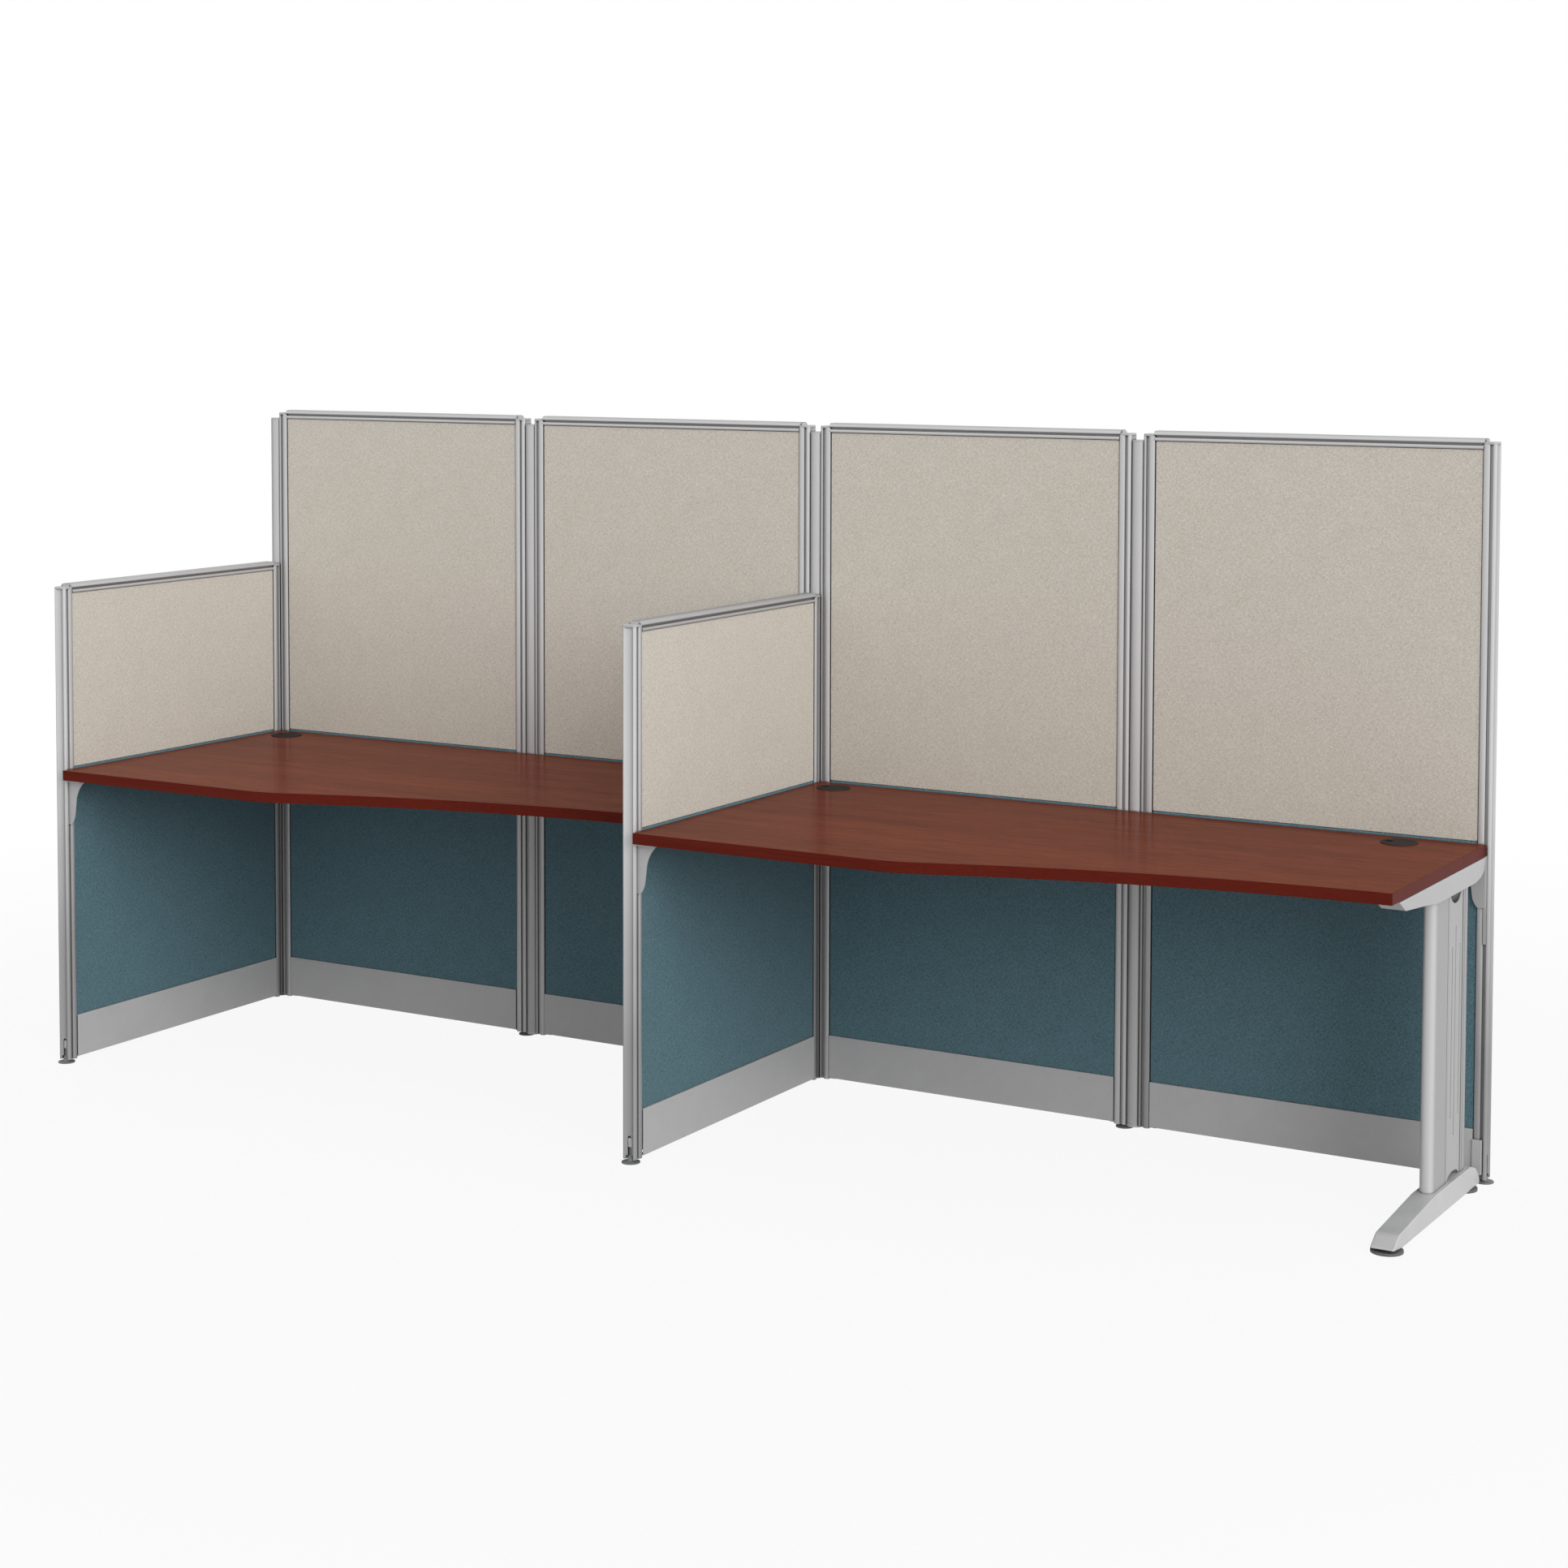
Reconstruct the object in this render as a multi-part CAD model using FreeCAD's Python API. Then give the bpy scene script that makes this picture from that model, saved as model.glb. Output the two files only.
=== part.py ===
import FreeCAD, Part
import math
import os

# Cubicle workstation for two people: four tall back panels in a row, two lower side panels standing
# out from the first and third posts, and two curved worktops, each on brackets and one leg.
# Millimetres, +X along the back row, +Y to the rear, +Z up, the floor at z = 0.

# Layout of the row
station_count = 2
panels_per_station = 2
post_to_tile = 45.0
back_height = 1594.0
side_height = 1188.0
worktop_height = 731.0
running_gap = 0.3
overrun = 5.0
rounding_share = 0.47

# Fabric tiles
tile_thickness = 8.0
tile_back = 7.0
tile_corner_radius = 5.0
tile_edge_radius = 2.5
tile_split_above_worktop = 5.0
tile_split_gap = 1.0
kick_top = 116.0
kick_bottom = 13.0
kick_to_tile = 0.5

# Stile extrusion: u runs outward from the tile's edge, v across the panel
stile_bottom = 8.5
bead_start = 2.0
bead_end = 15.5
bead_edge_half = 16.8
bead_crest_half = 18.7
groove_half = 12.4
groove_end = 22.8
lip_base_half = 17.2
lip_middle_from_post = 17.2
lip_middle_half = 16.2
channel_radius = 19.0
channel_lip_angle = 40.0
channel_wall = 2.6
slot_flange_reach = 12.0
slot_half = 5.0
web_face = 0.6
web_wall = 3.0
chamber_half = 9.8

# Top rail, measured down from its crown
rail_crown_reach = 4.0
rail_crown_flat_half = 7.0
rail_shoulder_half = 15.6
rail_shoulder_drop = 2.6
rail_side_drop = 8.0
rail_crown_drop = 10.0
rail_groove_drop = 15.0
rail_bead_crest_drop = 18.75
rail_body_drop = 22.5
rail_flange_drop = 31.5
rail_wall = 2.6
stile_top_drop = 12.0

# Cross rails inside the panels
cross_rail_height = 60.0
cross_rail_half = 4.7
cross_rail_wall = 1.5
cross_rail_above_worktop = 29.0
cross_rail_bottom = 30.0

# Stile caps
cap_thickness = 5.0
cap_start = 4.3
cap_end = 30.5
cap_half = 18.2
cap_corner_radius = 8.0
cap_edge_radius = 1.0
cap_peg_start = 5.0
cap_peg_depth = 14.0
cap_tab_thickness = 2.2
cap_tab_below_crown = 1.0

# Posts with their top caps and bottom plugs
post_radius = 18.7
post_wall = 2.5
post_bottom = 10.5
post_cap_drop = 22.0
post_cap_thickness = 4.4
post_plug_bottom = 6.0
post_spigot_length = 14.0
post_spigot_gap = 0.2

# Kick plates
kick_face_half = 19.0
kick_sheet = 2.0

# Levelling feet of the panels
foot_centre = 21.5
foot_radius = 20.5
foot_rim_height = 2.5
foot_dome_height = 5.5
foot_hub_radius = 8.5
foot_hub_top_radius = 5.5
foot_hub_top = 16.5
foot_stem_radius = 3.3
foot_stem_top = 57.0
foot_slot_half = 5.0
foot_slot_top = 60.0
foot_notch_gap = 0.6
foot_notch_top = 17.2
foot_insert_bottom = 35.5
foot_insert_height = 19.0
foot_insert_start = 5.0

# Bolts through the stiles into the posts
bolt_radius = 3.0
bolt_hole_radius = 3.2
bolt_head_radius = 4.8
bolt_head_height = 3.6
bolt_nut_half = 5.0
bolt_nut_thickness = 3.0
bolt_height_shares = (0.1, 0.5, 0.88)

# Worktops
worktop_length = 1629.0
worktop_thickness = 24.0
worktop_deep = 819.0
worktop_end_gap = 43.0
worktop_past_side_tile = 69.0
worktop_shallow = 609.0
worktop_curve_start = 585.0
worktop_swell_radius = 300.0
worktop_swell_angle = 20.9
edge_band_thickness = 2.0

# Cable grommets
grommet_from_left = 76.0
grommet_from_right = 168.0
grommet_from_back = 69.0
grommet_flange_radius = 40.0
grommet_flange_height = 2.0
grommet_flange_edge = 0.8
grommet_sleeve_radius = 34.5
grommet_sleeve_depth = 22.0
grommet_bore_radius = 30.5
grommet_hole_gap = 0.4
grommet_cap_radius = 32.2
grommet_cap_thickness = 2.5
grommet_skirt_wall = 1.5
grommet_skirt_depth = 6.0
grommet_notch_depth = 17.0
grommet_notch_width = 20.0
grommet_notch_corner = 6.0

# Worktop brackets: an ogee plate under a thin flange
bracket_sheet = 2.5
bracket_height = 112.0
bracket_reach = 53.0
bracket_ogee_shares = ((1.0, 0.0), (0.62, 0.19), (0.42, 0.42), (0.33, 0.77), (0.26, 0.89), (0.1, 1.0))
turned_bracket_shift = 10.0
turned_bracket_tab_height = 190.0
turned_bracket_tab_gap = 0.4
bracket_flange_wide = 21.0
bracket_flange_narrow = 4.0

# Leg beam under the worktop's right end, y measured forward from the tile face
beam_width = 50.0
beam_gap = 2.0
beam_rear = 7.0
beam_front = 568.0
beam_depth = 43.5
beam_shares = ((0.0, 0.0, 0.0), (0.016, 0.63, 0.3), (0.055, 0.86, 0.6), (0.12, 1.0, 0.9), (0.56, 1.0, 3.0),
               (0.74, 0.75, 3.0), (0.934, 0.52, 0.3), (1.0, 0.0, 0.0))
beam_pad_length = 40.0
beam_pad_from_end = 40.0

# Leg column of two rounded extrusions and two cover plates
column_thickness = 30.0
column_centre_inset = 25.0
column_front = 311.0
column_rear = 83.0
column_wall = 2.2
cover_front = 215.0
cover_rear = 125.0
cover_thickness = 2.0
cover_ledge = 5.0
cover_recess = 1.2
column_line_from_joint = 10.0
column_line_width = 1.6
column_line_depth = 1.0
cover_gap = 0.8
cover_cutout_width = 76.0
cover_cutout_heights = (14.5, 26.5)
cover_slot_width = 4.0
cover_slot_shares = ((0.51, 0.149, 0.877), (0.26, 0.214, 0.808), (0.84, 0.214, 0.808))

# Foot bar, its glides and the link plate to the panel
foot_bar_width = 50.0
foot_bar_bottom = 5.5
foot_bar_top = 55.5
foot_bar_rear = 13.0
foot_bar_front = 578.0
foot_bar_edge_radius = 3.0
foot_bar_shares = ((0.0, 0.0, 0.1), (0.012, 0.35, 0.5), (0.051, 0.79, 0.4), (0.11, 1.0, 0.3),
                   (0.54, 1.0, 2.0), (0.933, 0.602, 0.6), (1.0, 0.136, 0.05), (0.906, 0.0, 1.0))
glide_radius = 33.0
glide_rim_height = 3.4
glide_top = 5.2
glide_neck_radius = 9.0
glide_neck_top = 12.0
glide_stem_radius = 5.0
glide_stem_top = 26.0
glide_from_ends = (47.0, 35.0)
rod_radius = 4.0
rod_hole_gap = 0.3
rod_head_radius = 7.0
rod_head_height = 5.0
rod_from_ends = (45.0, 16.0)
link_thickness = 3.0
link_bottom = 20.0
link_top = 95.0
link_tongue_length = 24.0
link_tongue_bottom = 12.0
link_tongue_top = 26.0
link_tongue_from_edge = 8.0

# Wood screws under the worktop
screw_radius = 2.0
screw_length = 14.0
screw_head_radius = 4.0
screw_head_height = 2.0
screw_hole_gap = 0.1
screw_spacing = 28.0
screw_beam_length = 40.0

# Values worked out from the ones above
tile_front = tile_back + tile_thickness
station_pitch = worktop_length + worktop_end_gap
panel_pitch = station_pitch / panels_per_station
tile_width = panel_pitch - 2 * post_to_tile
side_tile_width = worktop_deep - worktop_past_side_tile
panel_count = station_count * panels_per_station
worktop_start = bead_crest_half - post_to_tile + running_gap
worktop_back = bead_crest_half - tile_front + running_gap
worktop_underside = worktop_height - worktop_thickness
groove_middle = (bead_end + groove_end) / 2
tile_split_height = worktop_height + tile_split_above_worktop
cross_rail_middle_top = worktop_height + cross_rail_above_worktop
right_stile_tip = post_to_tile - channel_radius * math.cos(math.radians(channel_lip_angle))
row_left = -post_to_tile - foot_radius
row_right = (panel_count - 1) * panel_pitch + tile_width + foot_centre + foot_radius
row_rear = tile_front + foot_radius
row_front = -worktop_back - worktop_deep
centre_x = (row_left + row_right) / 2
centre_y = (row_front + row_rear) / 2
up = FreeCAD.Vector(0, 0, 1)
origin = FreeCAD.Vector(0, 0, 0)
third_turn = 120


def point(x, y, z=0.0):
    return FreeCAD.Vector(x, y, z)


def block(x_low, x_high, y_low, y_high, z_low, z_high):
    """A box between two corners."""
    return Part.makeBox(x_high - x_low, y_high - y_low, z_high - z_low, point(x_low, y_low, z_low))


def rod(radius, start, end):
    """A round bar from one point to another."""
    along = end - start
    return Part.makeCylinder(radius, along.Length, start, along)


def chain(start, steps):
    """Edges from a start point: a step is a point for a line or a pair of points for an arc."""
    edges = []
    here = start
    for step in steps:
        if isinstance(step, tuple):
            edges.append(Part.Arc(here, step[0], step[1]).toShape())
            here = step[1]
        else:
            edges.append(Part.LineSegment(here, step).toShape())
            here = step
    return edges


def face_of(edges):
    return Part.Face(Part.Wire(Part.__sortEdges__(edges)))


def mirrored_face(half_edges):
    """A face from half an outline and its mirror image across the x axis."""
    other_half = [edge.mirror(origin, point(0, 1)) for edge in half_edges]
    return face_of(half_edges + other_half)


def rounded_face(corners):
    """A face in the xy plane from corners (x, y, radius), each radius limited by its two sides."""
    count = len(corners)
    points = [point(x, y) for x, y, radius in corners]
    stops = []
    for index in range(count):
        here = points[index]
        to_last = points[index - 1] - here
        to_next = points[(index + 1) % count] - here
        turn = to_last.getAngle(to_next)
        reach = corners[index][2] / math.tan(turn / 2)
        reach = min(reach, rounding_share * to_last.Length, rounding_share * to_next.Length)
        radius = reach * math.tan(turn / 2)
        if radius < running_gap:
            stops.append((here,))
            continue
        entry = here + to_last.normalize() * reach
        leave = here + to_next.normalize() * reach
        inward = (to_last + to_next).normalize()
        centre = here + inward * (radius / math.sin(turn / 2))
        stops.append((entry, centre - inward * radius, leave))
    edges = []
    for index in range(count):
        stop = stops[index]
        if len(stop) > 1:
            edges.append(Part.Arc(*stop).toShape())
        edges.append(Part.LineSegment(stop[-1], stops[(index + 1) % count][0]).toShape())
    return Part.Face(Part.Wire(edges))


def standing_prism(face, x_low, x_high):
    """A face drawn as (y, z) in the xy plane, stood up and pushed along x."""
    shape = face.extrude(point(0, 0, x_high - x_low))
    shape.rotate(origin, point(1, 1, 1), third_turn)
    return moved(shape, x_low, 0)


def turned(shape, angle):
    shape = shape.copy()
    shape.rotate(origin, up, angle)
    return shape


def moved(shape, x, y, z=0.0):
    shape = shape.copy()
    shape.translate(point(x, y, z))
    return shape


# Panels: each is drawn with its left tile edge at x = 0 and its middle plane at y = 0
class Panel:
    def __init__(self, name, width, height, x, y, angle, right_post):
        self.name = name
        self.width = width
        self.height = height
        self.x = x
        self.y = y
        self.angle = angle
        self.right_post = right_post
        self.stile_top = height - stile_top_drop

    def place(self, shape):
        return moved(turned(shape, self.angle), self.x, self.y)

    def at_end(self, shape, right):
        """Place a shape drawn outward from a tile edge along +x."""
        if right:
            return self.place(moved(shape, self.width, 0))
        return self.place(turned(shape, 180))


panels = []
for index in range(panel_count):
    last = index == panel_count - 1
    panels.append(Panel(f"back_{index + 1}", tile_width, back_height, index * panel_pitch, tile_front, 0,
                        not last))
for index, side_name in enumerate(("side_left", "side_right")):
    panels.append(Panel(side_name, side_tile_width, side_height, index * station_pitch - post_to_tile,
                        tile_front - post_to_tile, -90, False))
back_panels = panels[:panel_count]
side_panels = panels[panel_count:]


# Stiles: the grooved uprights at both ends of a panel, with the round channel that takes a post
def stile_section():
    lip = math.radians(channel_lip_angle)
    lip_tip = point(right_stile_tip, channel_radius * math.sin(lip))
    arc_middle = point(post_to_tile - channel_radius * math.cos(lip / 2), channel_radius * math.sin(lip / 2))
    channel_floor = point(post_to_tile - channel_radius, 0)
    lip_middle = point(post_to_tile - lip_middle_from_post, lip_middle_half)
    bead_middle = point((bead_start + bead_end) / 2, bead_crest_half)
    half = chain(point(web_face, 0), [
        point(web_face, slot_half), point(-slot_flange_reach, slot_half),
        point(-slot_flange_reach, tile_back), point(bead_start, tile_back), point(bead_start, bead_edge_half),
        (bead_middle, point(bead_end, bead_edge_half)), point(bead_end, groove_half),
        point(groove_end, groove_half), point(groove_end, lip_base_half),
        (lip_middle, lip_tip), (arc_middle, channel_floor)])
    inner_radius = channel_radius + channel_wall
    end_u = post_to_tile - math.sqrt(inner_radius ** 2 - chamber_half ** 2)
    middle_half = chamber_half / 2
    middle_u = post_to_tile - math.sqrt(inner_radius ** 2 - middle_half ** 2)
    chamber_start = web_face + web_wall
    chamber = chain(point(chamber_start, 0), [
        point(chamber_start, chamber_half), point(end_u, chamber_half),
        (point(middle_u, middle_half), point(post_to_tile - inner_radius, 0))])
    return mirrored_face(half).cut(mirrored_face(chamber))


def bolt_heights(panel):
    return [share * panel.height for share in bolt_height_shares]


def stile(panel, right):
    shape = stile_section().extrude(point(0, 0, panel.stile_top - stile_bottom))
    shape.translate(point(0, 0, stile_bottom))
    wide = bead_crest_half + overrun
    rail_low = panel.height - rail_flange_drop - running_gap
    shape = shape.cut(block(-slot_flange_reach - overrun, bead_start, -wide, wide, rail_low,
                            panel.stile_top + overrun))
    if right:
        far = channel_radius + post_to_tile
        slot_square_top = foot_slot_top - foot_slot_half
        wall_start = web_face + web_wall
        shape = shape.cut(block(wall_start, far, -foot_slot_half, foot_slot_half, 0, slot_square_top))
        slot_end = rod(foot_slot_half, point(wall_start, 0, slot_square_top), point(far, 0, slot_square_top))
        shape = shape.cut(slot_end)
        notch_half = foot_hub_radius + foot_notch_gap
        shape = shape.cut(block(wall_start, far, -notch_half, notch_half, 0, foot_notch_top))
    if panel.right_post or not right:
        for height in bolt_heights(panel):
            hole = rod(bolt_hole_radius, point(chamber_half, 0, height), point(post_to_tile, 0, height))
            shape = shape.cut(hole)
    return panel.at_end(shape, right)


def stiles(panel):
    return [stile(panel, False), stile(panel, True)]


# Top rail: a crowned extrusion notched at both ends, with flanges hanging behind the tiles
def top_rail(panel):
    bead_crest = point(bead_crest_half, -rail_bead_crest_drop)
    half = chain(point(0, -rail_body_drop), [
        point(slot_half, -rail_body_drop), point(slot_half, -rail_flange_drop),
        point(tile_back, -rail_flange_drop), point(tile_back, -rail_body_drop),
        point(bead_edge_half, -rail_body_drop),
        (bead_crest, point(bead_edge_half, -rail_groove_drop)), point(groove_half, -rail_groove_drop),
        point(groove_half, -rail_crown_drop), point(lip_base_half, -rail_crown_drop),
        point(bead_crest_half, -rail_side_drop),
        (point(rail_shoulder_half, -rail_shoulder_drop), point(rail_crown_flat_half, 0)), point(0, 0)])
    other_half = [edge.mirror(origin, point(1, 0)) for edge in half]
    section = face_of(half + other_half)
    hollow_low = rail_wall - rail_body_drop
    hollow = [(-chamber_half, hollow_low, 0), (chamber_half, hollow_low, 0), (chamber_half, -rail_wall, 0),
              (-chamber_half, -rail_wall, 0)]
    section = section.cut(rounded_face(hollow))
    rail = standing_prism(section, -rail_crown_reach, panel.width + rail_crown_reach)
    lower_reach = bead_start - running_gap
    wide = bead_crest_half + overrun
    for inner, outer in ((-lower_reach, -rail_crown_reach - overrun),
                         (panel.width + lower_reach, panel.width + rail_crown_reach + overrun)):
        rail = rail.cut(block(min(inner, outer), max(inner, outer), -wide, wide, -rail_flange_drop - overrun,
                              -stile_top_drop))
    return [panel.place(moved(rail, 0, 0, panel.height))]


# Fabric tiles: padded boards with soft edges, one above the other on both faces
def tile(panel, z_low, z_high, face):
    width = panel.width
    radius = tile_corner_radius
    outline = rounded_face([(0, z_low, radius), (width, z_low, radius), (width, z_high, radius),
                            (0, z_high, radius)])
    board = outline.extrude(point(0, 0, tile_thickness))
    front_edges = [edge for edge in board.Edges if edge.BoundBox.ZMin > tile_thickness / 2]
    board = board.makeFillet(tile_edge_radius, front_edges)
    board.rotate(origin, point(1, 0, 0), 90)
    board.translate(point(0, -tile_back, 0))
    if face > 0:
        board = moved(turned(board, 180), width, 0)
    return panel.place(board)


def upper_tiles(panel):
    top = panel.height - rail_body_drop - tile_split_gap
    return [tile(panel, tile_split_height, top, face) for face in (-1, 1)]


def lower_tiles(panel):
    low = kick_top + kick_to_tile
    high = tile_split_height - tile_split_gap
    return [tile(panel, low, high, face) for face in (-1, 1)]


# Kick plates: folded sheet along the floor on both faces, pressed against the stile flanges
def kick_plates(panel):
    plates = []
    for face in (-1, 1):
        outside = sorted((face * tile_back, face * kick_face_half))
        inside = sorted((face * (tile_back - overrun), face * (kick_face_half - kick_sheet)))
        plate = block(0, panel.width, outside[0], outside[1], kick_bottom, kick_top)
        plate = plate.cut(block(-overrun, panel.width + overrun, inside[0], inside[1],
                                kick_bottom + kick_sheet, kick_top - kick_sheet))
        plates.append(panel.place(plate))
    return plates


# Cross rails: flat tubes between the stiles behind the tiles
def cross_rails(panel):
    reach = web_face - running_gap
    tops = (cross_rail_bottom + cross_rail_height, cross_rail_middle_top,
            panel.height - rail_body_drop - running_gap)
    rails = []
    for top in tops:
        low = top - cross_rail_height
        tube = block(-reach, panel.width + reach, -cross_rail_half, cross_rail_half, low, top)
        inner_half = cross_rail_half - cross_rail_wall
        tube = tube.cut(block(-reach - overrun, panel.width + reach + overrun, -inner_half, inner_half,
                              low + cross_rail_wall, top - cross_rail_wall))
        rails.append(panel.place(tube))
    return rails


# Stile caps: flat covers on the stile tops, with a standing tab that closes the end of the rail's crown
def stile_caps(panel):
    outline = rounded_face([(cap_start, -cap_half, 0), (cap_end, -cap_half, cap_corner_radius),
                            (cap_end, cap_half, cap_corner_radius), (cap_start, cap_half, 0)])
    cap = outline.extrude(point(0, 0, cap_thickness))
    top_edges = [edge for edge in cap.Edges if edge.BoundBox.ZMin > cap_thickness / 2]
    cap = cap.makeFillet(cap_edge_radius, top_edges)
    peg_half = chamber_half - running_gap
    peg_end = post_to_tile - channel_radius - channel_wall - running_gap
    cap = cap.fuse(block(cap_peg_start, peg_end, -peg_half, peg_half, -cap_peg_depth, 0))
    post_room = rod(channel_radius, point(post_to_tile, 0, -cap_thickness),
                    point(post_to_tile, 0, 2 * cap_thickness))
    tab = block(cap_start, cap_start + cap_tab_thickness, -chamber_half, chamber_half, 0,
                stile_top_drop - cap_tab_below_crown)
    caps = []
    for right in (False, True):
        beside_post = panel in side_panels and not right
        shape = cap.cut(post_room) if beside_post else cap.fuse(tab)
        caps.append(panel.at_end(moved(shape, 0, 0, panel.stile_top), right))
    return caps


# Posts: round tubes between the panels, each with a top cap and a plug standing near the floor
def post_places():
    return [(panel.x - post_to_tile, panel.y) for panel in back_panels]


def post_top():
    return back_height - post_cap_drop - post_cap_thickness


def post_bolt_lines():
    """Start, direction and heights of the bolts at every stile that meets a post."""
    lines = []
    for panel in panels:
        ends = (False, True) if panel.right_post else (False,)
        for right in ends:
            for height in bolt_heights(panel):
                lines.append((panel, right, height))
    return lines


def clear_of_feet(shape):
    """Notch a post or plug round the hubs of the feet beside it."""
    for panel in back_panels:
        notch = rod(foot_hub_radius + foot_notch_gap, point(foot_centre, 0, 0),
                    point(foot_centre, 0, foot_notch_top))
        shape = shape.cut(panel.at_end(notch, True))
    return shape


def posts():
    shapes = []
    for x, y in post_places():
        tube = rod(post_radius, point(x, y, post_bottom), point(x, y, post_top()))
        bore = rod(post_radius - post_wall, point(x, y, post_bottom - overrun),
                   point(x, y, post_top() + overrun))
        tube = tube.cut(bore)
        for panel, right, height in post_bolt_lines():
            hole = rod(bolt_hole_radius, point(chamber_half, 0, height), point(post_to_tile, 0, height))
            hole = panel.at_end(hole, right)
            if hole.distToShape(tube)[0] < running_gap:
                tube = tube.cut(hole)
        shapes.append(clear_of_feet(tube))
    return shapes


def post_ends():
    shapes = []
    spigot_radius = post_radius - post_wall - post_spigot_gap
    for x, y in post_places():
        top = post_top()
        cap = rod(post_radius, point(x, y, top), point(x, y, top + post_cap_thickness))
        cap = cap.fuse(rod(spigot_radius, point(x, y, top - post_spigot_length), point(x, y, top)))
        plug = rod(post_radius, point(x, y, post_plug_bottom), point(x, y, post_bottom))
        spigot_top = post_bottom + post_spigot_length
        plug = plug.fuse(rod(spigot_radius, point(x, y, post_bottom), point(x, y, spigot_top)))
        shapes += [cap.removeSplitter(), clear_of_feet(plug.removeSplitter())]
    return shapes


# Frame bolts: short ones from a stile's chamber into its post, long ones through each leg column
def post_bolt(panel, right, height):
    seat = post_to_tile - channel_radius - channel_wall
    nut_start = post_to_tile - math.sqrt((post_radius - post_wall) ** 2 - bolt_nut_half ** 2) + running_gap
    tip = nut_start + bolt_nut_thickness
    shape = rod(bolt_head_radius, point(seat - bolt_head_height, 0, height), point(seat, 0, height))
    shape = shape.fuse(rod(bolt_radius, point(seat, 0, height), point(tip + running_gap, 0, height)))
    nut = block(tip - bolt_nut_thickness, tip, -bolt_nut_half, bolt_nut_half, height - bolt_nut_half,
                height + bolt_nut_half)
    return panel.at_end(shape.fuse(nut).removeSplitter(), right)


def leg_rod_places(station):
    """The x and y of the two long bolts in a leg, one in each column extrusion."""
    x = leg_x(station) - column_centre_inset
    return [(x, -column_front + rod_from_ends[0]), (x, -column_rear - rod_from_ends[1])]


def leg_bolt(x, y):
    low = foot_bar_bottom + rod_head_height + running_gap
    high = beam_top() - rod_head_height - running_gap
    shape = rod(rod_radius, point(x, y, low), point(x, y, high))
    shape = shape.fuse(rod(rod_head_radius, point(x, y, foot_bar_bottom + running_gap), point(x, y, low)))
    shape = shape.fuse(rod(rod_head_radius, point(x, y, high), point(x, y, high + rod_head_height)))
    return shape.removeSplitter()


def rod_holes(shape, station):
    """Clear the long bolts and their heads out of a leg piece."""
    for x, y in leg_rod_places(station):
        low = foot_bar_bottom - overrun
        high = beam_top() + overrun
        shape = shape.cut(rod(rod_radius + rod_hole_gap, point(x, y, low), point(x, y, high)))
        head = rod_head_radius + rod_hole_gap
        low_head_top = foot_bar_bottom + rod_head_height + running_gap
        high_head_bottom = beam_top() - rod_head_height - running_gap
        shape = shape.cut(rod(head, point(x, y, low), point(x, y, low_head_top)))
        shape = shape.cut(rod(head, point(x, y, high_head_bottom), point(x, y, high)))
    return shape


def frame_bolts():
    shapes = [post_bolt(panel, right, height) for panel, right, height in post_bolt_lines()]
    for station in range(station_count):
        shapes += [leg_bolt(x, y) for x, y in leg_rod_places(station)]
    return shapes


# Levelling feet: a domed disc with a tapered hub, its stem screwed into a block inside the stile
def foot(panel):
    profile = [point(0, 0, 0), point(foot_radius, 0, 0), point(foot_radius, 0, foot_rim_height),
               point(foot_hub_radius, 0, foot_dome_height), point(foot_hub_top_radius, 0, foot_hub_top),
               point(foot_stem_radius, 0, foot_hub_top), point(foot_stem_radius, 0, foot_stem_top),
               point(0, 0, foot_stem_top)]
    shape = Part.Face(Part.makePolygon(profile + profile[:1])).revolve(origin, up, 360)
    return [panel.at_end(moved(shape, foot_centre, 0), True)]


def foot_insert(panel):
    """The tapped block that the stem turns in, held inside the stile's chamber."""
    half = chamber_half - running_gap
    tongue_half = foot_slot_half - running_gap
    end = post_to_tile - channel_radius - running_gap
    high = foot_insert_bottom + foot_insert_height
    shape = block(foot_insert_start, end - channel_wall, -half, half, foot_insert_bottom, high)
    shape = shape.fuse(block(foot_insert_start, end, -tongue_half, tongue_half, foot_insert_bottom, high))
    bore = rod(foot_stem_radius + running_gap, point(foot_centre, 0, 0), point(foot_centre, 0, foot_stem_top))
    return panel.at_end(shape.cut(bore), True)


# Worktops: a board that is deep at the left and sweeps back in an S to a shallow right end
def station_x(station):
    return station * station_pitch + worktop_start


def worktop_outline():
    """The worktop's outline with its left rear corner at the origin and y running to the front."""
    angle = math.radians(worktop_swell_angle)
    start = point(worktop_curve_start, -worktop_deep)
    radius = worktop_swell_radius
    swell_middle = start + point(radius * math.sin(angle / 2), radius * (1 - math.cos(angle / 2)))
    swell_end = start + point(radius * math.sin(angle), radius * (1 - math.cos(angle)))
    front_right = point(worktop_length, -worktop_shallow)
    normal = point(math.sin(angle), -math.cos(angle))
    across = front_right - swell_end
    sweep_radius = across.dot(across) / (2 * across.dot(normal))
    centre = swell_end + normal * sweep_radius
    toward_middle = (swell_end + front_right) * 0.5 - centre
    sweep_middle = centre + toward_middle.normalize() * sweep_radius
    edges = chain(origin, [point(0, -worktop_deep), start, (swell_middle, swell_end),
                           (sweep_middle, front_right), point(worktop_length, 0), origin])
    return Part.Face(Part.Wire(edges))


def grommet_places(station):
    x = station_x(station)
    y = -worktop_back - grommet_from_back
    return [(x + grommet_from_left, y), (x + worktop_length - grommet_from_right, y)]


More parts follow.
